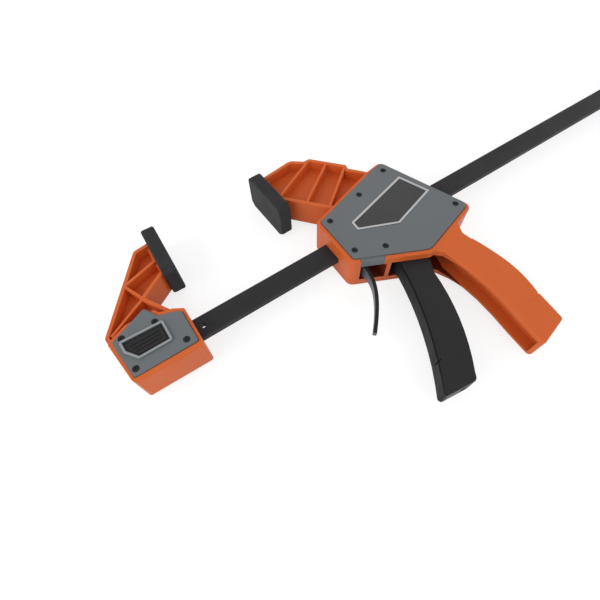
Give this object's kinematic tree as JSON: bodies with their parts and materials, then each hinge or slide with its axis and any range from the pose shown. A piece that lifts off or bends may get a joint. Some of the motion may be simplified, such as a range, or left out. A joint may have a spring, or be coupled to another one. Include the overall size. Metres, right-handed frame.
{
  "type": "quick release bar clamp",
  "caption": "Quick release bar clamp: a fixed jaw, and a sliding jaw with squeeze trigger, grip and release lever; a push button frees the fixed jaw from the bar.",
  "frame": {"origin": "centre of the small through hole in the bar beside the fixed jaw, at the bar's mid-thickness", "axes": "+X along the bar from the fixed jaw to the bar's free end, +Y in the throat direction towards the jaw tips, +Z through the clamp's thickness towards the side with the push button"},
  "size_m": [0.7163, 0.2674, 0.0394],
  "materials": {
    "orange_plastic": "moulded satin",
    "grey_plastic": "fine matt",
    "black_plastic": "moulded satin",
    "pad_rubber": "soft matt",
    "bar_steel": "black oxide",
    "lever_steel": "dark phosphate",
    "bright_steel": "ground",
    "spring_steel": "drawn wire",
    "screw_black": "black zinc",
    "label_film": "satin film"
  },
  "bodies": {
    "bar_and_fixed_jaw": {"bar": "bar_steel", "bar_stop_pin": "bright_steel", "fixed_jaw": "orange_plastic", "fixed_jaw_front_cover": "grey_plastic", "fixed_jaw_back_cover": "grey_plastic", "fixed_jaw_front_screws": "screw_black", "fixed_jaw_back_screws": "screw_black", "fixed_jaw_pad": "pad_rubber", "button_spring": "spring_steel"},
    "quick_change": {"quick_change_button": "black_plastic", "lock_yoke": "bright_steel", "lock_pin": "bright_steel"},
    "moving_jaw": {"moving_jaw_housing": "orange_plastic", "moving_jaw_front_cover": "grey_plastic", "moving_jaw_back_cover": "grey_plastic", "moving_jaw_front_screws": "screw_black", "moving_jaw_back_screws": "screw_black", "label_panel": "label_film", "moving_jaw_pad": "pad_rubber", "trigger_pivot_pin": "bright_steel", "drive_spring": "spring_steel", "brake_spring": "spring_steel"},
    "trigger": {"trigger": "black_plastic"},
    "drive_plates": {"drive_plate_1": "bright_steel", "drive_plate_2": "bright_steel", "drive_plate_3": "bright_steel"},
    "release_lever": {"release_lever": "lever_steel"}
  },
  "joints": [
    {"name": "carriage_slide", "type": "slide", "parent": "bar_and_fixed_jaw", "child": "moving_jaw", "axis": [1, 0, 0], "range_m": [-0.0964, 0.3513]},
    {"name": "trigger_pull", "type": "hinge", "parent": "moving_jaw", "child": "trigger", "pos_m": [0.1669, 0.021, 0], "axis": [0, 0, 1], "range_deg": [0, 14]},
    {"name": "drive_stroke", "type": "slide", "parent": "moving_jaw", "child": "drive_plates", "axis": [1, 0, 0], "range_m": [0, 0.0085], "stiffness_N_per_m": 260, "springref_m": -0.028, "deforming": ["drive_spring"]},
    {"name": "release_squeeze", "type": "hinge", "parent": "moving_jaw", "child": "release_lever", "pos_m": [0.1421, 0.0201, 0], "axis": [0, 0, 1], "range_deg": [0, 5.5], "stiffness_Nm_per_rad": 1.5, "springref_deg": -8.59, "deforming": ["brake_spring"]},
    {"name": "quick_change_press", "type": "slide", "parent": "bar_and_fixed_jaw", "child": "quick_change", "axis": [0, 0, -1], "range_m": [0, 0.005], "stiffness_N_per_m": 600, "springref_m": -0.006, "deforming": ["button_spring"]}
  ],
  "couplings": [
    {"joint": "drive_stroke", "follows": "trigger_pull", "m_per_rad": 0.0345}
  ]
}
